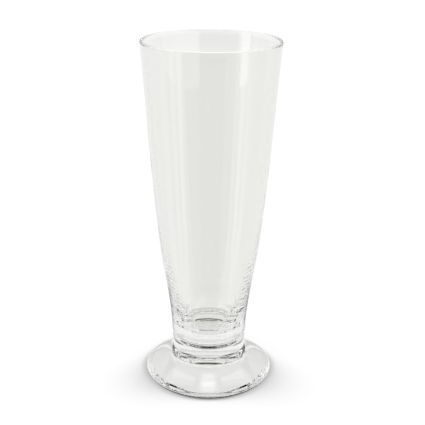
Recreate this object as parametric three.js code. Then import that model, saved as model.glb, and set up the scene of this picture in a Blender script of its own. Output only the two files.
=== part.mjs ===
// Footed beer glass: a tall blown bowl, a short collar and a domed foot, three gathers of clear
// glass that are fused one on another. Millimetres, +Z up along the axis of the glass, with the
// origin in the middle of the foot, on the table.
import * as THREE from 'three';

// Heights of the three pieces, stacked from joint to joint
const FOOT_HEIGHT = 18;
const COLLAR_HEIGHT = 8;
const BOWL_HEIGHT = 177;

// Foot: a dome that sweeps down from the collar to a rounded edge. It is hollowed deep underneath,
// nearly parallel to the dome, up to the crown of glass under the collar, and stands on a flat ring.
const FOOT_RADIUS = 38.4;
const FOOT_EDGE_ROUND = 1.9;
const FOOT_DOME_SLOPE = THREE.MathUtils.degToRad(33);
const FOOT_DOME_RUN = 9;
const FOOT_FILLET_DROP = 7;
const FOOT_RING_WIDTH = 3.5;
const FOOT_CROWN = 6.5;

// Collar: a short button of glass, with a fine crease at the lower joint
const COLLAR_RADIUS = 22;
const LOWER_JOINT_INSET = 0.4;
const LOWER_JOINT_ROUND = 0.8;

// Groove: a smooth waist drawn in at the upper joint, part of it in the collar and part in the bowl
const GROOVE_DEPTH = 1.4;
const GROOVE_DROP = 3;
const GROOVE_RISE = 2;

// Outside of the bowl: an upright band, a flare up to the shoulder and a long taper to the lip.
// A lean is the radius gained for each millimetre of height.
const BAND_RADIUS = 22.4;
const BAND_RISE = 2;
const SHOULDER_RADIUS = 26.9;
const SHOULDER_HEIGHT = 40;
const SHOULDER_LEAN = 0.177;
const LIP_RADIUS = 39.3;
const LIP_LEAN = 0.087;

// Inside of the bowl: a thin wall that thickens below the shoulder and closes in, more and more, to
// a small floor with a round edge
const LIP_WALL = 1.7;
const SHOULDER_WALL = 3.1;
const FLOOR_THICKNESS = 3.9;
const FLOOR_RADIUS = 9.6;
const FLOOR_ROUND = 3.8;
const INNER_SHOULDER_LEAN = 0.23;
const INNER_FLOOR_LEAN = 0.96;

// How far each end of a wall curve pulls on it, as a share of the height that the curve spans
const FLARE_PULL = { start: 0.22, end: 0.22 };
const TAPER_PULL = { start: 0.24, end: 0.28 };
const INNER_FLARE_PULL = { start: 0.19, end: 0.13 };
const GROOVE_PULL = { start: 0.5, end: 0.5 };

// Facets round the axis, and along each kind of curve
const ROUND_STEPS = 48;
const WALL_STEPS = 8;
const EDGE_STEPS = 6;

// Joint planes, and the radius at which the pieces meet there
const LOWER_JOINT = FOOT_HEIGHT;
const UPPER_JOINT = LOWER_JOINT + COLLAR_HEIGHT;
const LOWER_JOINT_RADIUS = COLLAR_RADIUS - LOWER_JOINT_INSET;
const UPPER_JOINT_RADIUS = COLLAR_RADIUS - GROOVE_DEPTH;

const QUARTER_TURN = Math.PI / 2;

const at = (radius, height) => new THREE.Vector2(radius, height);

// Part of an ellipse in the profile plane, from one angle to another
function arc(centre, radiusAcross, radiusUp, from, to) {
  const clockwise = to < from;
  const curve = new THREE.EllipseCurve(
    centre.x, centre.y, radiusAcross, radiusUp, from, to, clockwise,
  );
  return curve.getPoints(EDGE_STEPS);
}

// Side wall between two stations, each with a radius, a height and a lean
function wall(lower, upper, pull) {
  const span = upper.height - lower.height;
  const lowerReach = pull.start * span;
  const upperReach = pull.end * span;
  const curve = new THREE.CubicBezierCurve(
    at(lower.radius, lower.height),
    at(lower.radius + lower.lean * lowerReach, lower.height + lowerReach),
    at(upper.radius - upper.lean * upperReach, upper.height - upperReach),
    at(upper.radius, upper.height),
  );
  return curve.getPoints(WALL_STEPS);
}

// Closed solid of revolution from a profile that runs from the axis, out, up and back to the axis
function turned(name, runs, colour) {
  const sameSpot = 1e-6;
  const profile = runs.flat().filter(
    (spot, i, all) => i === 0 || spot.distanceTo(all[i - 1]) > sameSpot,
  );
  const geometry = new THREE.LatheGeometry(profile, ROUND_STEPS);
  geometry.rotateX(QUARTER_TURN);
  const material = new THREE.MeshStandardMaterial({
    color: colour, roughness: 0.04, metalness: 0, transparent: true, opacity: 0.35,
  });
  const mesh = new THREE.Mesh(geometry, material);
  mesh.name = name;
  return mesh;
}

function foot() {
  const edge = at(FOOT_RADIUS - FOOT_EDGE_ROUND, FOOT_EDGE_ROUND);
  const edgeTop = QUARTER_TURN - FOOT_DOME_SLOPE;
  const domeEnd = at(
    edge.x + FOOT_EDGE_ROUND * Math.cos(edgeTop),
    edge.y + FOOT_EDGE_ROUND * Math.sin(edgeTop),
  );
  const hollowRadius = edge.x - FOOT_RING_WIDTH;
  const hollowTop = LOWER_JOINT - FOOT_CROWN;
  const hollow = new THREE.QuadraticBezierCurve(
    at(0, hollowTop),
    at(hollowRadius / 2, hollowTop),
    at(hollowRadius, 0),
  );
  const dome = new THREE.CubicBezierCurve(
    domeEnd,
    at(
      domeEnd.x - FOOT_DOME_RUN * Math.cos(FOOT_DOME_SLOPE),
      domeEnd.y + FOOT_DOME_RUN * Math.sin(FOOT_DOME_SLOPE),
    ),
    at(LOWER_JOINT_RADIUS, LOWER_JOINT - FOOT_FILLET_DROP),
    at(LOWER_JOINT_RADIUS, LOWER_JOINT),
  );
  return turned('foot', [
    hollow.getPoints(WALL_STEPS),
    arc(edge, FOOT_EDGE_ROUND, FOOT_EDGE_ROUND, -QUARTER_TURN, edgeTop),
    dome.getPoints(WALL_STEPS),
    at(0, LOWER_JOINT),
  ], 0xe6e8e2);
}

// Deepest place of the groove, where the collar ends and the bowl begins
const waist = { radius: UPPER_JOINT_RADIUS, height: UPPER_JOINT, lean: 0 };

function stemCollar() {
  const creaseCentre = at(LOWER_JOINT_RADIUS, LOWER_JOINT + LOWER_JOINT_ROUND);
  const belowGroove = { radius: COLLAR_RADIUS, height: UPPER_JOINT - GROOVE_DROP, lean: 0 };
  return turned('stem_collar', [
    at(0, LOWER_JOINT),
    arc(creaseCentre, LOWER_JOINT_INSET, LOWER_JOINT_ROUND, -QUARTER_TURN, 0),
    wall(belowGroove, waist, GROOVE_PULL),
    at(0, UPPER_JOINT),
  ], 0xdcddd8);
}

function bowl() {
  const aboveGroove = { radius: BAND_RADIUS, height: UPPER_JOINT + GROOVE_RISE, lean: 0 };
  const band = { ...aboveGroove, height: aboveGroove.height + BAND_RISE };
  const shoulder = {
    radius: SHOULDER_RADIUS, height: UPPER_JOINT + SHOULDER_HEIGHT, lean: SHOULDER_LEAN,
  };
  const lipRound = LIP_WALL / 2;
  const lip = {
    radius: LIP_RADIUS, height: UPPER_JOINT + BOWL_HEIGHT - lipRound, lean: LIP_LEAN,
  };
  const innerLip = { ...lip, radius: LIP_RADIUS - LIP_WALL };
  const innerShoulder = {
    radius: SHOULDER_RADIUS - SHOULDER_WALL, height: shoulder.height, lean: INNER_SHOULDER_LEAN,
  };
  // The floor's round edge turns up until it runs along the wall above it
  const floorHeight = UPPER_JOINT + FLOOR_THICKNESS;
  const floorTurn = Math.atan(INNER_FLOOR_LEAN);
  const floorCentre = at(FLOOR_RADIUS, floorHeight + FLOOR_ROUND);
  const innerFloor = {
    radius: floorCentre.x + FLOOR_ROUND * Math.cos(floorTurn),
    height: floorCentre.y - FLOOR_ROUND * Math.sin(floorTurn),
    lean: INNER_FLOOR_LEAN,
  };
  return turned('bowl', [
    at(0, UPPER_JOINT),
    wall(waist, aboveGroove, GROOVE_PULL),
    wall(band, shoulder, FLARE_PULL),
    wall(shoulder, lip, TAPER_PULL),
    arc(at(LIP_RADIUS - lipRound, lip.height), lipRound, lipRound, 0, Math.PI),
    wall(innerShoulder, innerLip, TAPER_PULL).reverse(),
    wall(innerFloor, innerShoulder, INNER_FLARE_PULL).reverse(),
    arc(floorCentre, FLOOR_ROUND, FLOOR_ROUND, -floorTurn, -QUARTER_TURN),
    at(0, floorHeight),
  ], 0xe2e3de);
}

const beerGlass = new THREE.Group();
beerGlass.add(foot(), stemCollar(), bowl());

export default beerGlass;
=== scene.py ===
# Footed beer glass of clear glass, with a tapered bowl, a grooved collar and a domed foot
import math
from typing import NamedTuple

import bmesh
import bpy
from mathutils import Matrix, Vector


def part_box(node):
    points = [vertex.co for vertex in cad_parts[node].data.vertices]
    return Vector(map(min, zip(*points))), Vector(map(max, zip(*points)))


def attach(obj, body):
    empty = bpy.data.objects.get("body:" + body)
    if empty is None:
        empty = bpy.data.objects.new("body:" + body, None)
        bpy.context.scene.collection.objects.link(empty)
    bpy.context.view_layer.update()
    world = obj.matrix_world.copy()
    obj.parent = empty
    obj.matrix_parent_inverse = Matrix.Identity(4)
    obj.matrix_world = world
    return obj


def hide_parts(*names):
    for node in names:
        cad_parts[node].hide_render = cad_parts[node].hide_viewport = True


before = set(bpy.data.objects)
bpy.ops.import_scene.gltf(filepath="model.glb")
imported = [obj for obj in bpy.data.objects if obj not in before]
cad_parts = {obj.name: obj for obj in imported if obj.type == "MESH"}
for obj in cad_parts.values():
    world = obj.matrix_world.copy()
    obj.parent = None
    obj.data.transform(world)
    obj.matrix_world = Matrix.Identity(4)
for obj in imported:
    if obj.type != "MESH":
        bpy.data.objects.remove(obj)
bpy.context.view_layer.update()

bl_info = {
    "name": "Footed beer glass",
    "version": (1, 0, 0),
    "blender": (4, 5, 0),
    "location": "View3D > Sidebar > Beer glass",
    "description": "Turns the pieces of a footed beer glass and lights them on a white ground",
    "category": "Object",
}

FOOT_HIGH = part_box("foot")[1]
COLLAR_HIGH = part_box("stem_collar")[1]
BOWL_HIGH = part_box("bowl")[1]

QUARTER_TURN = math.pi / 2
FULL_TURN = 2 * math.pi
WHITE = (1.0, 1.0, 1.0, 1.0)

# Room that a node gets in the editor, and how many stand in one row
NODE_WIDTH = 190
NODE_HEIGHT = 260
NODES_IN_ROW = 12

# Spots and levels that are closer than this are the same
SAME_SPOT = 1e-7
SAME_LEVEL = 1e-6

# Heights where no face is, for a piece without such a joint or without the lip's painted highlight
NO_JOINT = -1.0
NO_LIP_HIGHLIGHT = 10.0

# Steps round the axis and along each run of a profile, and how much they crowd on the inner taper
ROUND_STEPS = 208
EDGE_STEPS = 14
GROOVE_STEPS = 16
WALL_STEPS = 44
RIPPLED_STEPS = 120
TAPER_CROWDING = 1.8

# How far each end of a wall curve pulls on it, as a share of the height that the curve spans
FLARE_PULL = (0.22, 0.22)
TAPER_PULL = (0.24, 0.28)
INNER_FLARE_PULL = (0.19, 0.13)
GROOVE_PULL = (0.5, 0.5)

# Edges that bend more than this stay crisp
CRISP_BEND = math.radians(30)

# Ripples wander in height and differ in strength, by two soft patterns. A rise is how fast a pattern
# changes with height, a scale how fast it changes round the wall.
WANDER_RISE = 55.0
WANDER_SCALE = 2.2
WANDER_DETAIL = 2.0
STRENGTH_RISE = 140.0
STRENGTH_SCALE = 1.6
STRENGTH_DETAIL = 1.0
STRENGTH_SEED_STEP = 7.5
STRENGTH_PATTERN = (0.35, 0.65)
STRENGTH_RANGE = (0.25, 1.25)

# Polish and sway of the glass: how fine their soft patterns are. The sway is drawn out upwards.
POLISH_SCALE = 160.0
POLISH_DETAIL = 3.0
POLISH_PATTERN = (0.45, 0.75)
SWAY_SCALE = 70.0
SWAY_DETAIL = 1.5
SWAY_DRAWN = (1.0, 1.0, 0.22)

# Ground: half of its side, and its level, a hair under the foot
GROUND_HALF = 4.0
GROUND_LEVEL = -0.0001

# Distances from the axis between which the ground changes: where reflections begin to find the light
# and dark round about, where the dim back ends, and where the ground pales
PAST_FOOT = (0.045, 0.07)
NEAR_GROUND = (0.09, 0.14)
FAR_GROUND = (1.0, 1.3)

# Light that has gone into no glass on its way has passed through fewer surfaces than this
ENTERED_GLASS = 0.5

# Film width of the camera in millimetres, and how often light may turn in glass and pass clear faces
SENSOR_WIDTH = 36.0
GLASS_BOUNCES = 400
CLEAR_BOUNCES = 24

# Brightness that reflections find round the glass, in stretches: first and last angle in degrees from
# the front, to the right, and a level. From one stretch to the next the brightness changes evenly.
ROUND_ABOUT = (
    # Pale wall behind, at the left
    (-180, -180, 0.9),
    (-115, -115, 0.85),
    (-96, -96, 0.75),
    # Three strips of window light at the left, with the frames between them
    (-90, -80, 0.95),
    (-77, -73, 0.6),
    (-70, -63, 1.0),
    (-61, -58, 0.6),
    (-56, -51, 0.95),
    # Dim room in front
    (-46, 21, 0.05),
    # Grey wall at the right with a narrow lighter strip
    (25, 39, 0.35),
    (40, 42, 0.6),
    (43, 48, 0.3),
    # Two strips of window light at the right, with the frame between them
    (51, 57, 1.0),
    (59, 61, 0.65),
    (63, 67, 1.0),
    # Pale wall behind, at the right
    (70, 70, 0.65),
    (100, 100, 0.75),
    (115, 115, 0.85),
    (180, 180, 0.9),
)


# Light box: its angles in degrees from the front and from the ground, its distance from the axis, the
# height on the axis that it faces, its size, the share of that size over which its edges fade, and
# whether only reflections show it
class LightBox(NamedTuple):
    name: str
    azimuth: float
    elevation: float
    distance: float
    aim: float
    width: float
    height: float
    fade: float
    only_mirrored: bool


LEFT_BOX = LightBox(
    "left_box", azimuth=-65, elevation=0, distance=0.5, aim=0.25,
    width=0.16, height=0.26, fade=0.06, only_mirrored=True,
)
RIGHT_BOX = LightBox(
    "right_box", azimuth=60, elevation=0, distance=0.5, aim=0.25,
    width=0.8, height=0.26, fade=0.04, only_mirrored=True,
)
TOP_BOX = LightBox(
    "top_box", azimuth=0, elevation=84, distance=0.65, aim=0.0,
    width=0.36, height=0.3, fade=0.8, only_mirrored=False,
)
REAR_BOX = LightBox(
    "rear_box", azimuth=180, elevation=56.5, distance=0.6, aim=0.03,
    width=0.5, height=0.15, fade=0.3, only_mirrored=False,
)
REAR_SIDE_BOX = LightBox(
    "rear_box", azimuth=121, elevation=61, distance=0.6, aim=0.03,
    width=0.27, height=0.41, fade=0.2, only_mirrored=False,
)


def length(name, description, default):
    return bpy.props.FloatProperty(
        name=name, description=description, default=default,
        precision=5, subtype="DISTANCE", unit="LENGTH",
    )


def angle(name, description, degrees):
    return bpy.props.FloatProperty(
        name=name, description=description, default=math.radians(degrees),
        subtype="ANGLE", unit="ROTATION",
    )


def share(name, description, default):
    return bpy.props.FloatProperty(
        name=name, description=description, default=default, precision=3, subtype="FACTOR"
    )


def amount(name, description, default, unit="NONE"):
    return bpy.props.FloatProperty(
        name=name, description=description, default=default, precision=3, unit=unit
    )


def colour(name, description, default):
    return bpy.props.FloatVectorProperty(
        name=name, description=description, default=default,
        size=3, min=0.0, max=1.0, subtype="COLOR",
    )


def group(kind, name, description):
    return bpy.props.PointerProperty(type=kind, name=name, description=description)


class FootSizes(bpy.types.PropertyGroup):
    top: length("Top", "Height of the joint with the collar", FOOT_HIGH.z)
    radius: length("Radius", "Widest radius of the foot", FOOT_HIGH.x)
    edge_round: length("Edge round", "Radius of the rounded edge", 0.0019)
    dome_slope: angle("Dome slope", "Slope of the dome where it leaves the edge", 33.0)
    dome_run: length("Dome run", "How far the dome keeps its slope", 0.009)
    fillet_drop: length("Fillet drop", "How far the sweep up to the collar reaches down", 0.007)
    ring_width: length("Ring width", "Width of the flat ring that stands on the table", 0.0035)
    crown: length("Crown", "Glass left above the middle of the hollow", 0.0065)


class CollarSizes(bpy.types.PropertyGroup):
    top: length("Top", "Height of the joint with the bowl", COLLAR_HIGH.z)
    radius: length("Radius", "Radius of the collar", COLLAR_HIGH.x)
    crease_depth: length("Crease depth", "Depth of the fine crease at the foot", 0.0004)
    crease_round: length("Crease round", "Height of the fine crease at the foot", 0.0008)
    groove_depth: length("Groove depth", "Depth of the groove under the bowl", 0.0014)
    groove_drop: length("Groove drop", "Height of the groove's lower half, in the collar", 0.003)
    groove_rise: length("Groove rise", "Height of the groove's upper half, in the bowl", 0.002)


class BowlSizes(bpy.types.PropertyGroup):
    top: length("Top", "Height of the lip", BOWL_HIGH.z)
    band_radius: length("Band radius", "Radius of the upright band above the groove", 0.0224)
    band_rise: length("Band rise", "Height of the upright band", 0.002)
    shoulder_radius: length("Shoulder radius", "Radius where the long taper begins", 0.0269)
    shoulder_height: length("Shoulder height", "Height of the shoulder above the collar", 0.04)
    shoulder_lean: share("Shoulder lean", "Radius gained per height at the shoulder", 0.177)
    lip_radius: length("Lip radius", "Widest radius of the lip", BOWL_HIGH.x)
    lip_lean: share("Lip lean", "Radius gained per height at the lip", 0.087)
    lip_wall: length("Lip wall", "Wall at the lip", 0.0017)
    # The lip zone is the lip's painted highlight: its faces get partly white glass so that the lip
    # looks lit
    lip_highlight_zone: length("Lip zone", "Height of the melted lip that catches the light", 0.0005)
    shoulder_wall: length("Shoulder wall", "Wall at the shoulder", 0.0031)
    floor_thickness: length("Floor thickness", "Glass under the middle of the floor", 0.0039)
    floor_radius: length("Floor radius", "Radius of the flat floor inside", 0.0096)
    floor_round: length("Floor round", "Radius of the floor's rounded edge", 0.0038)
    inner_shoulder_lean: share("Inner shoulder lean", "Inner lean at the shoulder", 0.23)
    inner_floor_lean: share("Inner floor lean", "Inner lean at the floor", 0.96)
    ripple_height: length("Ripple height", "Height of the ripples in the thick wall", 0.00006)
    ripple_pitch: length("Ripple pitch", "Distance from one ripple to the next", 0.0029)
    ripple_sides: share("Ripple sides", "How far out to either side the ripples begin", 0.6)
    ripple_full: length("Ripple full", "Height up to which the ripples are at their fullest", 0.07)
    ripple_end: length("Ripple end", "Height at which the ripples have died out", 0.1)
    ripple_seed: bpy.props.IntProperty(
        name="Ripple seed", description="Picks the uneven run of the ripples", default=3
    )


class GlassFinish(bpy.types.PropertyGroup):
    bowl_tint: colour("Bowl tint", "Tint of the blown bowl", (0.93, 0.934, 0.912))
    # The collar's glass is darker than the bowl's: painted shade for the grey tone the collar shows
    collar_shaded_tint: colour("Collar tint", "Tint of the collar", (0.86, 0.865, 0.845))
    # The foot's glass is lighter than the bowl's: painted light for the pale tone the foot shows
    foot_lightened_tint: colour("Foot tint", "Tint of the foot", (0.965, 0.969, 0.953))
    # The lip's glass is partly a white, cloudy surface. It is a painted highlight that stands in for
    # the light the lip gathers, and real lamps light it.
    lip_highlight_tint: colour("Lip tint", "Tint of the melted lip", (0.98, 0.98, 0.97))
    lip_clear: share("Lip clearness", "How much light passes through the melted lip", 0.35)
    ior: amount("Refraction", "Index of refraction of the glass", 1.52)
    polish_low: share("Polish low", "Roughness of the clearest places", 0.0)
    polish_high: share("Polish high", "Roughness of the dullest places", 0.012)
    sway: length("Surface sway", "Height of the slow sway left by the blowing", 0.00004)


class StageLook(bpy.types.PropertyGroup):
    floor_colour: colour("Floor colour", "Colour of the ground", (0.93, 0.93, 0.93))
    floor_even: share("Floor evenness", "How even the ground looks through the glass", 0.85)
    floor_far: share("Far floor", "Brightness of the far ground through the glass", 0.93)
    daylight: amount("Soft light", "Soft light from all round that falls on the ground", 0.52)
    lamp: amount("Lamps", "Strength of each of the two soft lamps behind the glass", 1.75)
    lamp_side: angle("Lamp side", "How far round from the front each soft lamp is", 118.0)
    lamp_height: angle("Lamp height", "Height of the soft lamps, as an angle", 31.0)
    lamp_spread: angle("Lamp spread", "How wide each soft lamp looks from the glass", 30.0)
    lip_lamp: amount("Lip lamp", "Power of the small lamp in front of the lip", 0.28, "POWER")
    lip_lamp_size: length("Lip lamp size", "Radius of the lip's lamp", 0.01)
    lip_lamp_front: length("Lip lamp front", "How far it is in front of the axis", 0.14)
    lip_lamp_up: length("Lip lamp up", "Height of the lip's lamp", 0.27)
    sweep: amount("Backdrop", "Brightness of the backdrop that the glass shows", 1.1)
    room: amount("Room", "Brightness of the dim room in front of the glass", 0.03)
    room_turn: angle("Room turn", "How far the room's middle is turned from the front", 18.0)
    room_inner: angle("Room inner", "Angle from its middle where the room brightens", 33.0)
    room_outer: angle("Room outer", "Angle from its middle where the backdrop begins", 38.0)
    back: amount("Back", "Brightness of the back that the outside of the glass mirrors", 0.05)
    back_low: share("Back low", "Where the back begins to dim, as a share of the way behind", 0.3)
    back_high: share("Back high", "Where the back is at its dimmest", 0.7)
    ceiling: amount("Ceiling", "Brightness of the ceiling", 0.0)
    ceiling_low: share("Ceiling low", "Where the ceiling begins, as a share of the way up", 0.5)
    ceiling_high: share("Ceiling high", "Where the ceiling has its own brightness", 0.58)
    left_box: amount("Left box", "Brightness of the light box at the left", 2.0)
    right_box: amount("Right box", "Brightness of the light box at the right", 1.1)
    rear_box: amount("Rear boxes", "Brightness of the three light boxes high behind", 1.1)
    top_box: amount("Top box", "Brightness of the light box overhead", 2.8)
    camera_back: length("Camera back", "Distance of the camera from the axis", 0.4668)
    camera_up: length("Camera up", "Height of the camera", 0.2776)
    camera_pitch: angle("Camera pitch", "How far the camera looks down", 20.58)
    camera_roll: angle("Camera roll", "How far the camera leans", 0.525)
    camera_lens: amount("Camera lens", "Focal length of the camera", 71.94, "CAMERA")
    camera_shift: amount("Camera shift", "Sideways shift of the lens", 0.00635)


class BeerGlass(bpy.types.PropertyGroup):
    foot: group(FootSizes, "Foot", "Sizes of the foot")
    collar: group(CollarSizes, "Collar", "Sizes of the collar")
    bowl: group(BowlSizes, "Bowl", "Sizes of the bowl")
    finish: group(GlassFinish, "Glass", "Finish of the glass")
    stage: group(StageLook, "Stage", "Ground, light and camera")


def shares(steps):
    return [i / steps for i in range(steps + 1)]


def bezier(start, start_pull, end_pull, end, places):
    corners = (start, start_pull, end_pull, end)
    spots = []
    for t in places:
        weights = ((1 - t) ** 3, 3 * t * (1 - t) ** 2, 3 * t * t * (1 - t), t ** 3)
        spots.append(tuple(sum(w * c[axis] for w, c in zip(weights, corners)) for axis in (0, 1)))
    return spots


def arc(centre, across, up, start, end):
    turns = [start + (end - start) * t for t in shares(EDGE_STEPS)]
    return [(centre[0] + across * math.cos(a), centre[1] + up * math.sin(a)) for a in turns]


# Side wall between two stations, each a radius, a height and a lean
def wall(lower, upper, pull, places):
    span = upper[1] - lower[1]
    low = pull[0] * span
    high = pull[1] * span
    return bezier(
        lower[:2],
        (lower[0] + lower[2] * low, lower[1] + low),
        (upper[0] - upper[2] * high, upper[1] - high),
        upper[:2],
        places,
    )


# Radius at the fine crease, where the foot and the collar meet
def neck_radius(collar):
    return collar.radius - collar.crease_depth


# Deepest place of the groove, where the collar ends and the bowl begins
def waist_station(collar):
    return (collar.radius - collar.groove_depth, collar.top, 0.0)


def foot_profile(foot, collar):
    edge = (foot.radius - foot.edge_round, foot.edge_round)
    edge_top = QUARTER_TURN - foot.dome_slope
    dome_end = (
        edge[0] + foot.edge_round * math.cos(edge_top),
        edge[1] + foot.edge_round * math.sin(edge_top),
    )
    dome_pull = (
        dome_end[0] - foot.dome_run * math.cos(foot.dome_slope),
        dome_end[1] + foot.dome_run * math.sin(foot.dome_slope),
    )
    neck = (neck_radius(collar), foot.top)
    fillet_pull = (neck[0], foot.top - foot.fillet_drop)
    hollow_radius = edge[0] - foot.ring_width
    hollow_top = foot.top - foot.crown
    hollow = [(hollow_radius * t, hollow_top * (1 - t * t)) for t in shares(WALL_STEPS)]
    return [
        *hollow,
        *arc(edge, foot.edge_round, foot.edge_round, -QUARTER_TURN, edge_top),
        *bezier(dome_end, dome_pull, fillet_pull, neck, shares(WALL_STEPS)),
        (0.0, foot.top),
    ]


def collar_profile(foot, collar):
    crease = (neck_radius(collar), foot.top + collar.crease_round)
    below_groove = (collar.radius, collar.top - collar.groove_drop, 0.0)
    return [
        (0.0, foot.top),
        *arc(crease, collar.crease_depth, collar.crease_round, -QUARTER_TURN, 0.0),
        *wall(below_groove, waist_station(collar), GROOVE_PULL, shares(GROOVE_STEPS)),
        (0.0, collar.top),
    ]


def bowl_profile(collar, bowl):
    above_groove = (bowl.band_radius, collar.top + collar.groove_rise, 0.0)
    band = (bowl.band_radius, above_groove[1] + bowl.band_rise, 0.0)
    shoulder_top = collar.top + bowl.shoulder_height
    shoulder = (bowl.shoulder_radius, shoulder_top, bowl.shoulder_lean)
    lip_round = bowl.lip_wall / 2
    lip = (bowl.lip_radius, bowl.top - lip_round, bowl.lip_lean)
    inner_lip = (bowl.lip_radius - bowl.lip_wall, lip[1], bowl.lip_lean)
    inner_radius = bowl.shoulder_radius - bowl.shoulder_wall
    inner_shoulder = (inner_radius, shoulder_top, bowl.inner_shoulder_lean)
    floor_height = collar.top + bowl.floor_thickness
    floor_turn = math.atan(bowl.inner_floor_lean)
    floor_centre = (bowl.floor_radius, floor_height + bowl.floor_round)
    inner_floor = (
        floor_centre[0] + bowl.floor_round * math.cos(floor_turn),
        floor_centre[1] - bowl.floor_round * math.sin(floor_turn),
        bowl.inner_floor_lean,
    )
    # The inner taper is stepped finer towards the shoulder, where the ripples run on
    finer_below = [t ** TAPER_CROWDING for t in shares(RIPPLED_STEPS)]
    outside = [
        (0.0, collar.top),
        *wall(waist_station(collar), above_groove, GROOVE_PULL, shares(GROOVE_STEPS)),
        *wall(band, shoulder, FLARE_PULL, shares(WALL_STEPS)),
        *wall(shoulder, lip, TAPER_PULL, shares(WALL_STEPS)),
        *arc((bowl.lip_radius - lip_round, lip[1]), lip_round, lip_round, 0.0, math.pi),
    ]
    inside = [
        *reversed(wall(inner_shoulder, inner_lip, TAPER_PULL, finer_below)),
        *reversed(wall(inner_floor, inner_shoulder, INNER_FLARE_PULL, shares(RIPPLED_STEPS))),
    ]
    floor = [
        *arc(floor_centre, bowl.floor_round, bowl.floor_round, -floor_turn, -QUARTER_TURN),
        (0.0, floor_height),
    ]
    return outside, inside, floor


def distinct(spots):
    kept = []
    for spot in spots:
        if not kept or math.dist(spot, kept[-1]) > SAME_SPOT:
            kept.append(spot)
    return kept


def limited(value):
    return min(1.0, max(0.0, value))


# How strong the ripples are at each spot of the bowl's inside, from none at the floor and high up
def ripple_shares(bowl, inside, floor_edge):
    ebb = bowl.ripple_end - bowl.ripple_full
    strengths = []
    for _, height in inside:
        fade = limited((bowl.ripple_end - height) / ebb)
        onset = limited((height - floor_edge) / bowl.ripple_pitch)
        strengths.append(fade * fade * (3 - 2 * fade) * onset)
    return strengths


# Adds a node, sets its settings and fills its sockets with values or links
def add(tree, kind, sockets=None, **settings):
    node = tree.nodes.new(kind)
    for name, value in settings.items():
        setattr(node, name, value)
    for key, value in (sockets or {}).items():
        if isinstance(value, bpy.types.NodeSocket):
            tree.links.new(value, node.inputs[key])
        else:
            node.inputs[key].default_value = value
    row, column = divmod(len(tree.nodes), NODES_IN_ROW)
    node.location = (NODE_WIDTH * column, -NODE_HEIGHT * row)
    return node


def calculate(tree, operation, *values):
    return add(tree, "ShaderNodeMath", dict(enumerate(values)), operation=operation).outputs[0]


# Value that goes from low to high while another goes from start to end, softly or evenly
def eased(tree, value, start, end, low=0.0, high=1.0, style="SMOOTHSTEP"):
    sockets = {"Value": value, "From Min": start, "From Max": end, "To Min": low, "To Max": high}
    return add(tree, "ShaderNodeMapRange", sockets, interpolation_type=style).outputs["Result"]


def blended(tree, part, low, high):
    return eased(tree, part, 0.0, 1.0, low, high, "LINEAR")


def parts_of(tree, vector):
    return add(tree, "ShaderNodeSeparateXYZ", {"Vector": vector}).outputs


def vector_of(tree, x, y, z):
    return add(tree, "ShaderNodeCombineXYZ", {"X": x, "Y": y, "Z": z}).outputs["Vector"]


def mixed(tree, part, first, second):
    sockets = {"Fac": part, 1: first, 2: second}
    return add(tree, "ShaderNodeMixShader", sockets).outputs["Shader"]
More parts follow.
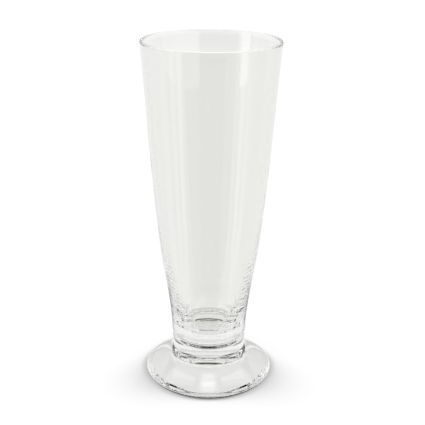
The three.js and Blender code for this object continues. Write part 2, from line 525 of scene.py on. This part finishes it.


# Tree that turns a profile round the axis, ripples the marked part of it and sets its finishes, the
# lip's painted highlight among them
def turning_tree():
    tree = bpy.data.node_groups.new("Turned glass", "GeometryNodeTree")
    inputs = (
        ("Profile", "NodeSocketGeometry", None),
        ("Round Steps", "NodeSocketInt", ROUND_STEPS),
        ("Ripple Height", "NodeSocketFloat", 0.0),
        ("Ripple Pitch", "NodeSocketFloat", 0.003),
        ("Ripple Sides", "NodeSocketFloat", 0.5),
        ("Seed", "NodeSocketInt", 0),
        ("Lower Joint", "NodeSocketFloat", NO_JOINT),
        ("Upper Joint", "NodeSocketFloat", NO_JOINT),
        ("Lip Highlight Start", "NodeSocketFloat", NO_LIP_HIGHLIGHT),
        ("Glass", "NodeSocketMaterial", None),
        ("Lip Painted Highlight", "NodeSocketMaterial", None),
        ("Fused Joint", "NodeSocketMaterial", None),
    )
    for name, kind, default in inputs:
        item = tree.interface.new_socket(name, in_out="INPUT", socket_type=kind)
        if default is not None:
            item.default_value = default
    tree.interface.new_socket("Geometry", in_out="OUTPUT", socket_type="NodeSocketGeometry")
    given = add(tree, "NodeGroupInput").outputs

    def sampled(value, row, kind):
        sockets = {"Geometry": given["Profile"], "Value": value, "Index": row}
        return add(tree, "GeometryNodeSampleIndex", sockets, data_type=kind).outputs["Value"]

    def pattern(across, along, up, scale, detail, seed):
        where = vector_of(tree, across, along, up)
        sockets = {"Vector": where, "W": seed, "Scale": scale, "Detail": detail}
        return add(tree, "ShaderNodeTexNoise", sockets, noise_dimensions="4D").outputs["Fac"]

    def compared(operation, value, other, **limits):
        sockets = {"A": value, "B": other, **limits}
        node = add(tree, "FunctionNodeCompare", sockets, data_type="FLOAT", operation=operation)
        return node.outputs["Result"]

    def changed(kind, shell, sockets, **settings):
        node = add(tree, "GeometryNode" + kind, {"Geometry": shell, **sockets}, **settings)
        return node.outputs["Geometry"]

    # A grid with one row for each spot of the profile and one column for each step round
    size = add(tree, "GeometryNodeAttributeDomainSize", {"Geometry": given["Profile"]})
    rows = size.outputs["Point Count"]
    columns = calculate(tree, "ADD", given["Round Steps"], 1.0)
    grid = add(tree, "GeometryNodeMeshGrid", {"Vertices X": columns, "Vertices Y": rows})
    index = add(tree, "GeometryNodeInputIndex").outputs["Index"]
    row = calculate(tree, "MODULO", index, rows)
    column = calculate(tree, "FLOOR", calculate(tree, "DIVIDE", index, rows))
    place = add(tree, "GeometryNodeInputPosition").outputs["Position"]
    spot = parts_of(tree, sampled(place, row, "FLOAT_VECTOR"))
    marked = add(tree, "GeometryNodeInputNamedAttribute", {"Name": "wavy"}, data_type="FLOAT")
    wavy = sampled(marked.outputs["Attribute"], row, "FLOAT")
    round_share = calculate(tree, "DIVIDE", column, given["Round Steps"])
    turned_by = calculate(tree, "MULTIPLY", round_share, FULL_TURN)
    across = calculate(tree, "COSINE", turned_by)
    along = calculate(tree, "SINE", turned_by)

    # Ripples: level rings that wander in height and strength round the two sides of the wall
    wander_up = calculate(tree, "MULTIPLY", spot["Z"], WANDER_RISE)
    wander = pattern(across, along, wander_up, WANDER_SCALE, WANDER_DETAIL, given["Seed"])
    strength_up = calculate(tree, "MULTIPLY", spot["Z"], STRENGTH_RISE)
    strength_seed = calculate(tree, "ADD", given["Seed"], STRENGTH_SEED_STEP)
    uneven = pattern(across, along, strength_up, STRENGTH_SCALE, STRENGTH_DETAIL, strength_seed)
    strength = eased(tree, uneven, *STRENGTH_PATTERN, *STRENGTH_RANGE, "LINEAR")
    aside = eased(tree, calculate(tree, "ABSOLUTE", across), given["Ripple Sides"], 1.0)
    strength = calculate(tree, "MULTIPLY", strength, aside)
    pitches = calculate(tree, "DIVIDE", spot["Z"], given["Ripple Pitch"])
    waves = calculate(tree, "ADD", pitches, wander)
    wave = calculate(tree, "SINE", calculate(tree, "MULTIPLY", waves, FULL_TURN))
    height = calculate(tree, "MULTIPLY", wavy, strength)
    height = calculate(tree, "MULTIPLY", height, given["Ripple Height"])
    radius = calculate(tree, "MULTIPLY_ADD", wave, height, spot["X"])

    x = calculate(tree, "MULTIPLY", radius, across)
    y = calculate(tree, "MULTIPLY", radius, along)
    turned = vector_of(tree, x, y, spot["Z"])
    shell = changed("SetPosition", grid.outputs["Mesh"], {"Position": turned})
    shell = changed("MergeByDistance", shell, {"Distance": SAME_SPOT})

    # Smooth all over, with a crisp edge at the standing ring and at the fused joints
    shell = changed("SetShadeSmooth", shell, {"Shade Smooth": True}, domain="FACE")
    bend = add(tree, "GeometryNodeInputMeshEdgeAngle").outputs["Unsigned Angle"]
    crisp = {"Selection": compared("GREATER_THAN", bend, CRISP_BEND), "Shade Smooth": False}
    shell = changed("SetShadeSmooth", shell, crisp, domain="EDGE")

    # The glass, then the lip's painted highlight (partly white glass on the melted lip) and the fused
    # joints, which are found by their height
    shell = changed("RealizeInstances", shell, {})
    shell = changed("SetMaterial", shell, {"Material": given["Glass"]})
    level = parts_of(tree, place)["Z"]
    lip = compared("GREATER_THAN", level, given["Lip Highlight Start"])
    shell = changed("SetMaterial", shell, {"Selection": lip, "Material": given["Lip Painted Highlight"]})
    for joint in ("Lower Joint", "Upper Joint"):
        fused = compared("EQUAL", level, given[joint], Epsilon=SAME_LEVEL)
        shell = changed(
            "SetMaterial", shell, {"Selection": fused, "Material": given["Fused Joint"]}
        )
    add(tree, "NodeGroupOutput", {"Geometry": shell})
    return tree


# Glass with the slow sway of a blown wall and a polish that is a little uneven. Below full clearness
# the rest is a white, cloudy surface, which on the lip is a painted highlight.
def clear_glass(name, tint, finish, clear=1.0):
    material = bpy.data.materials.new(name)
    material.use_nodes = True
    tree = material.node_tree
    shader = tree.nodes["Principled BSDF"].inputs
    shader["Base Color"].default_value = (*tint, 1.0)
    shader["IOR"].default_value = finish.ior
    shader["Transmission Weight"].default_value = clear
    where = add(tree, "ShaderNodeTexCoord").outputs["Object"]
    cloudy = add(
        tree, "ShaderNodeTexNoise",
        {"Vector": where, "Scale": POLISH_SCALE, "Detail": POLISH_DETAIL},
    ).outputs["Fac"]
    polish = eased(
        tree, cloudy, *POLISH_PATTERN, finish.polish_low, finish.polish_high, "LINEAR"
    )
    tree.links.new(polish, shader["Roughness"])
    drawn = add(tree, "ShaderNodeMapping", {"Vector": where, "Scale": SWAY_DRAWN})
    sway = add(
        tree, "ShaderNodeTexNoise",
        {"Vector": drawn.outputs["Vector"], "Scale": SWAY_SCALE, "Detail": SWAY_DETAIL},
    ).outputs["Fac"]
    swayed = add(
        tree, "ShaderNodeBump", {"Height": sway, "Strength": 1.0, "Distance": finish.sway}
    ).outputs["Normal"]
    tree.links.new(swayed, shader["Normal"])
    return material


# Material without its usual shader, and its tree
def bare_material(name):
    material = bpy.data.materials.new(name)
    material.use_nodes = True
    tree = material.node_tree
    tree.nodes.remove(tree.nodes["Principled BSDF"])
    return material, tree


def show(tree, shader, output="Material Output"):
    tree.links.new(shader, tree.nodes[output].inputs["Surface"])


# The faces where two gathers are melted together have no surface of their own
def fused_joint():
    material = bpy.data.materials.get("fused_joint")
    if not material:
        material, tree = bare_material("fused_joint")
        show(tree, add(tree, "ShaderNodeBsdfTransparent").outputs["BSDF"])
    return material


# Turns a profile into a closed piece that stands for its node
def turn(name, node, profile, wavy, sizes, glass):
    line = bpy.data.meshes.new(name + "_profile")
    spots = [(radius, 0.0, height) for radius, height in profile]
    line.from_pydata(spots, [(i, i + 1) for i in range(len(spots) - 1)], [])
    line.attributes.new("wavy", "FLOAT", "POINT").data.foreach_set("value", wavy)
    piece = bpy.data.objects.new(name, line)
    bpy.context.scene.collection.objects.link(piece)
    tree = bpy.data.node_groups.get("Turned glass") or turning_tree()
    modifier = piece.modifiers.new("Turned glass", "NODES")
    modifier.node_group = tree
    values = {**sizes, "Round Steps": ROUND_STEPS, "Glass": glass, "Fused Joint": fused_joint()}
    for item in tree.interface.items_tree:
        if item.in_out == "INPUT" and item.name in values:
            modifier[item.identifier] = values[item.name]
    graph = bpy.context.evaluated_depsgraph_get()
    mesh = bpy.data.meshes.new_from_object(piece.evaluated_get(graph), depsgraph=graph)
    piece.modifiers.remove(modifier)
    piece.data = mesh
    bpy.data.meshes.remove(line)
    mesh.name = name
    check_closed(piece)
    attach(piece, "root")
    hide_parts(node)
    return piece


def check_closed(piece):
    shape = bmesh.new()
    shape.from_mesh(piece.data)
    gaps = sum(not edge.is_manifold for edge in shape.edges)
    volume = shape.calc_volume(signed=True)
    shape.free()
    if gaps or volume <= 0:
        raise RuntimeError(f"{piece.name} isn't closed: {gaps} open edges, volume {volume}")


# The bowl and the collar leave the ground's light alone, and only the foot shades it
def leave_ground_lit(piece):
    piece.visible_shadow = False
    piece.visible_diffuse = False


class BEERGLASS_OT_foot(bpy.types.Operator):
    """Turns the domed foot with the hollow underneath"""
    bl_idname = "beerglass.foot"
    bl_label = "Foot"

    def execute(self, context):
        glass = context.scene.beer_glass
        profile = distinct(foot_profile(glass.foot, glass.collar))
        no_ripples = [0.0] * len(profile)
        sizes = {"Upper Joint": glass.foot.top}
        # Glass lightened as painted light
        material = clear_glass("foot_glass", glass.finish.foot_lightened_tint, glass.finish)
        turn("domed_foot", "foot", profile, no_ripples, sizes, material)
        return {"FINISHED"}


class BEERGLASS_OT_collar(bpy.types.Operator):
    """Turns the short collar with the lower half of the groove"""
    bl_idname = "beerglass.collar"
    bl_label = "Collar"

    def execute(self, context):
        glass = context.scene.beer_glass
        profile = distinct(collar_profile(glass.foot, glass.collar))
        no_ripples = [0.0] * len(profile)
        sizes = {"Lower Joint": glass.foot.top, "Upper Joint": glass.collar.top}
        # Glass darkened as painted shade
        material = clear_glass("collar_glass", glass.finish.collar_shaded_tint, glass.finish)
        piece = turn(
            "grooved_collar", "stem_collar", profile, no_ripples, sizes, material
        )
        leave_ground_lit(piece)
        return {"FINISHED"}


class BEERGLASS_OT_bowl(bpy.types.Operator):
    """Turns the blown bowl with its melted lip and the ripples in its thick lower wall"""
    bl_idname = "beerglass.bowl"
    bl_label = "Bowl"

    def execute(self, context):
        glass = context.scene.beer_glass
        bowl = glass.bowl
        finish = glass.finish
        outside, inside, floor = bowl_profile(glass.collar, bowl)
        outside = distinct(outside)
        inside = distinct([outside[-1], *inside])[1:]
        floor = distinct([inside[-1], *floor])[1:]
        rippled = ripple_shares(bowl, inside, floor[0][1])
        wavy = [0.0] * len(outside) + rippled + [0.0] * len(floor)
        # The lip's faces get partly white glass: a painted highlight
        sizes = {
            "Lower Joint": glass.collar.top,
            "Lip Highlight Start": bowl.top - bowl.lip_highlight_zone,
            "Lip Painted Highlight": clear_glass("lip_painted_highlight", finish.lip_highlight_tint, finish, finish.lip_clear),
            "Ripple Height": bowl.ripple_height,
            "Ripple Pitch": bowl.ripple_pitch,
            "Ripple Sides": bowl.ripple_sides,
            "Seed": bowl.ripple_seed,
        }
        material = clear_glass("bowl_glass", finish.bowl_tint, finish)
        profile = outside + inside + floor
        piece = turn("blown_bowl", "bowl", profile, wavy, sizes, material)
        leave_ground_lit(piece)
        return {"FINISHED"}


# Share of the dim room in a direction, from none on the backdrop to all in the room's middle
def room_seen(tree, direction, stage):
    middle = (math.sin(stage.room_turn), -math.cos(stage.room_turn), 0.0)
    toward = add(
        tree, "ShaderNodeVectorMath", {0: direction, 1: middle}, operation="DOT_PRODUCT"
    ).outputs["Value"]
    return eased(tree, toward, math.cos(stage.room_outer), math.cos(stage.room_inner))


# Brightness that a reflection finds in a direction
def round_about(tree, direction):
    part = parts_of(tree, direction)
    front = calculate(tree, "MULTIPLY", part["Y"], -1.0)
    around = calculate(tree, "ARCTAN2", part["X"], front)
    share_round = calculate(tree, "MULTIPLY_ADD", around, 1 / FULL_TURN, 0.5)
    ramp = add(tree, "ShaderNodeValToRGB", {"Fac": share_round})
    stops = ramp.color_ramp.elements
    marks = [
        (degrees / 360 + 0.5, (level, level, level, 1.0))
        for start, end, level in ROUND_ABOUT for degrees in sorted({start, end})
    ]
    # The ramp comes with its first and its last stop
    stops[0].color = marks[0][1]
    stops[1].color = marks[-1][1]
    for position, grey in marks[1:-1]:
        stops.new(position).color = grey
    return ramp.outputs["Color"]


# Level that is dimmed behind the glass, for reflections on its outside. Light that has run on inside
# the glass finds the back as bright as before.
def dim_back(tree, level, behind, path, reach, stage):
    back = eased(tree, behind, stage.back_low, stage.back_high, 1.0, stage.back)
    outside = calculate(tree, "LESS_THAN", path["Transmission Depth"], ENTERED_GLASS)
    part = calculate(tree, "MULTIPLY", outside, reach)
    return blended(tree, part, level, calculate(tree, "MINIMUM", level, back))


def flat_panel(name, half_width, half_height, level=0.0):
    corners = [
        (side * half_width, end * half_height, level)
        for side, end in ((-1, -1), (1, -1), (1, 1), (-1, 1))
    ]
    mesh = bpy.data.meshes.new(name)
    mesh.from_pydata(corners, [], [(0, 1, 2, 3)])
    panel = bpy.data.objects.new(name, mesh)
    bpy.context.scene.collection.objects.link(panel)
    return panel


# White ground: a soft shadow for the camera, nearly even white through the glass, and the light and
# dark round about in reflections
def ground(stage):
    floor = flat_panel("ground", GROUND_HALF, GROUND_HALF, GROUND_LEVEL)
    material, tree = bare_material("ground")
    seen = add(tree, "ShaderNodeBsdfDiffuse", {"Color": (*stage.floor_colour, 1.0)}).outputs["BSDF"]
    where = add(tree, "ShaderNodeTexCoord").outputs["Object"]
    away = add(tree, "ShaderNodeVectorMath", {0: where}, operation="LENGTH").outputs["Value"]
    path = add(tree, "ShaderNodeLightPath").outputs
    past_foot = eased(tree, away, *PAST_FOOT)
    mirrored = calculate(tree, "MINIMUM", past_foot, path["Glossy Depth"])
    far = eased(tree, away, *FAR_GROUND, 1.0, stage.floor_far)
    near = eased(tree, away, *NEAR_GROUND, 1.0, 0.0)
    behind = calculate(tree, "DIVIDE", parts_of(tree, where)["Y"], away)
    around = dim_back(tree, round_about(tree, where), behind, path, near, stage)
    level = blended(tree, mirrored, far, around)
    white = add(tree, "ShaderNodeEmission", {"Strength": level}).outputs["Emission"]
    in_glass = calculate(
        tree, "MAXIMUM", path["Is Reflection Ray"], path["Is Transmission Ray"]
    )
    evenness = calculate(tree, "MULTIPLY", in_glass, stage.floor_even)
    show(tree, mixed(tree, evenness, seen, white))
    floor.data.materials.append(material)


def background(tree, strength):
    sockets = {"Color": WHITE, "Strength": strength}
    return add(tree, "ShaderNodeBackground", sockets).outputs["Background"]


# World: white behind, soft light on the ground, and a bright backdrop in a dim room for the glass
def studio(stage):
    world = bpy.data.worlds.new("studio")
    bpy.context.scene.world = world
    world.use_nodes = True
    tree = world.node_tree
    tree.nodes.remove(tree.nodes["Background"])
    way = add(tree, "ShaderNodeTexCoord").outputs["Generated"]
    part = parts_of(tree, way)
    room = room_seen(tree, way, stage)
    walls = calculate(tree, "MULTIPLY_ADD", room, stage.room - stage.sweep, stage.sweep)
    level = eased(
        tree, part["Z"], stage.ceiling_low, stage.ceiling_high, walls, stage.ceiling
    )
    path = add(tree, "ShaderNodeLightPath").outputs
    mirrored = calculate(tree, "MINIMUM", level, round_about(tree, way))
    mirrored = dim_back(tree, mirrored, part["Y"], path, reach=1.0, stage=stage)
    level = blended(tree, path["Glossy Depth"], level, mirrored)
    seen = background(tree, level)
    soft = background(tree, stage.daylight)
    white = background(tree, 1.0)
    lit = mixed(tree, path["Is Diffuse Ray"], seen, soft)
    show(tree, mixed(tree, path["Is Camera Ray"], lit, white), "World Output")
    world.cycles.sampling_method = "NONE"


# Place of a light, at a distance from a point on the axis and facing it
def facing(azimuth, elevation, distance, aim):
    out = math.cos(elevation)
    away = Vector((math.sin(azimuth) * out, -math.cos(azimuth) * out, math.sin(elevation)))
    place = Matrix.Translation(Vector((0.0, 0.0, aim)) + away * distance)
    return place @ away.to_track_quat("Z", "Y").to_matrix().to_4x4()


# Panel of light that only the glass shows, or only its reflections
def light_box(box, strength):
    azimuth = math.radians(box.azimuth)
    elevation = math.radians(box.elevation)
    halves = (box.width / 2, box.height / 2)
    panel = flat_panel(box.name, *halves)
    panel.matrix_world = facing(azimuth, elevation, box.distance, box.aim)
    material, tree = bare_material(box.name)
    where = parts_of(tree, add(tree, "ShaderNodeTexCoord").outputs["Object"])
    level = strength
    for axis, half in zip("XY", halves):
        out = calculate(tree, "ABSOLUTE", where[axis])
        level = eased(tree, out, half * (1 - box.fade), half, level, 0.0)
    light = add(tree, "ShaderNodeEmission", {"Strength": level}).outputs["Emission"]
    clear = add(tree, "ShaderNodeBsdfTransparent").outputs["BSDF"]
    shown = calculate(tree, "DIVIDE", level, strength)
    if box.only_mirrored:
        path = add(tree, "ShaderNodeLightPath").outputs
        shown = calculate(tree, "MINIMUM", shown, path["Glossy Depth"])
    show(tree, mixed(tree, shown, clear, light))
    material.cycles.emission_sampling = "NONE"
    panel.data.materials.append(material)
    panel.visible_camera = False
    panel.visible_diffuse = False
    panel.visible_shadow = False


# Lamp that shows neither itself nor its reflection
def hidden_lamp(name, kind, strength):
    data = bpy.data.lights.new(name, kind)
    data.energy = strength
    lamp = bpy.data.objects.new(name, data)
    lamp.visible_camera = False
    lamp.visible_glossy = False
    lamp.visible_transmission = False
    bpy.context.scene.collection.objects.link(lamp)
    return lamp


# Soft lamp behind the glass at one side, which gives the foot its shadow
def soft_lamp(side, stage):
    lamp = hidden_lamp(f"lamp_{side}", "SUN", stage.lamp)
    lamp.data.angle = stage.lamp_spread
    lamp.matrix_world = facing(
        side * stage.lamp_side, stage.lamp_height, distance=1.0, aim=0.0
    )


# Small soft lamp in front of the lip. It lights only the bowl, where the lip's painted highlight, a
# partly white surface, catches it.
def lip_lamp(stage):
    lamp = hidden_lamp("lip_lamp", "POINT", stage.lip_lamp)
    lamp.data.shadow_soft_size = stage.lip_lamp_size
    lamp.location = (0.0, -stage.lip_lamp_front, stage.lip_lamp_up)
    lit = bpy.data.collections.new("lip_lit")
    lit.objects.link(bpy.data.objects["blown_bowl"])
    lamp.light_linking.receiver_collection = lit


def camera(stage):
    data = bpy.data.cameras.new("camera")
    data.lens = stage.camera_lens
    data.sensor_width = SENSOR_WIDTH
    data.shift_x = stage.camera_shift
    eye = bpy.data.objects.new("camera", data)
    bpy.context.scene.collection.objects.link(eye)
    place = Matrix.Translation((0.0, -stage.camera_back, stage.camera_up))
    tilt = Matrix.Rotation(QUARTER_TURN - stage.camera_pitch, 4, "X")
    lean = Matrix.Rotation(stage.camera_roll, 4, "Z")
    eye.matrix_world = place @ tilt @ lean
    bpy.context.scene.camera = eye


class BEERGLASS_OT_stage(bpy.types.Operator):
    """Sets the white ground, the soft light, the light boxes and the camera"""
    bl_idname = "beerglass.stage"
    bl_label = "Stage"

    def execute(self, context):
        stage = context.scene.beer_glass.stage
        ground(stage)
        studio(stage)
        light_box(LEFT_BOX, stage.left_box)
        light_box(RIGHT_BOX, stage.right_box)
        light_box(TOP_BOX, stage.top_box)
        light_box(REAR_BOX, stage.rear_box)
        for side in (-1, 1):
            name = f"{REAR_SIDE_BOX.name}_{side}"
            azimuth = side * REAR_SIDE_BOX.azimuth
            light_box(REAR_SIDE_BOX._replace(name=name, azimuth=azimuth), stage.rear_box)
            soft_lamp(side, stage)
        lip_lamp(stage)
        camera(stage)
        scene = context.scene
        scene.view_settings.view_transform = "Standard"
        scene.cycles.max_bounces = GLASS_BOUNCES
        scene.cycles.transmission_bounces = GLASS_BOUNCES
        scene.cycles.glossy_bounces = GLASS_BOUNCES
        scene.cycles.transparent_max_bounces = CLEAR_BOUNCES
        scene.cycles.caustics_refractive = False
        scene.cycles.caustics_reflective = False
        return {"FINISHED"}


class BEERGLASS_PT_panel(bpy.types.Panel):
    """Lists the pieces of the glass and their sizes"""
    bl_idname = "BEERGLASS_PT_panel"
    bl_label = "Beer glass"
    bl_space_type = "VIEW_3D"
    bl_region_type = "UI"
    bl_category = "Beer glass"

    def draw(self, context):
        glass = context.scene.beer_glass
        for part, operator in (
            ("foot", "beerglass.foot"),
            ("collar", "beerglass.collar"),
            ("bowl", "beerglass.bowl"),
            ("finish", None),
            ("stage", "beerglass.stage"),
        ):
            box = self.layout.box()
            sizes = getattr(glass, part)
            for name in sizes.__annotations__:
                box.prop(sizes, name)
            if operator:
                box.operator(operator)


CLASSES = (
    FootSizes,
    CollarSizes,
    BowlSizes,
    GlassFinish,
    StageLook,
    BeerGlass,
    BEERGLASS_OT_foot,
    BEERGLASS_OT_collar,
    BEERGLASS_OT_bowl,
    BEERGLASS_OT_stage,
    BEERGLASS_PT_panel,
)


def register():
    for cls in CLASSES:
        bpy.utils.register_class(cls)
    bpy.types.Scene.beer_glass = group(
        BeerGlass, "Beer glass", "Sizes, finish and stage of the glass"
    )


def unregister():
    del bpy.types.Scene.beer_glass
    for cls in reversed(CLASSES):
        bpy.utils.unregister_class(cls)


def main():
    register()
    bpy.ops.beerglass.foot()
    bpy.ops.beerglass.collar()
    bpy.ops.beerglass.bowl()
    bpy.ops.beerglass.stage()


if __name__ == "__main__":
    main()
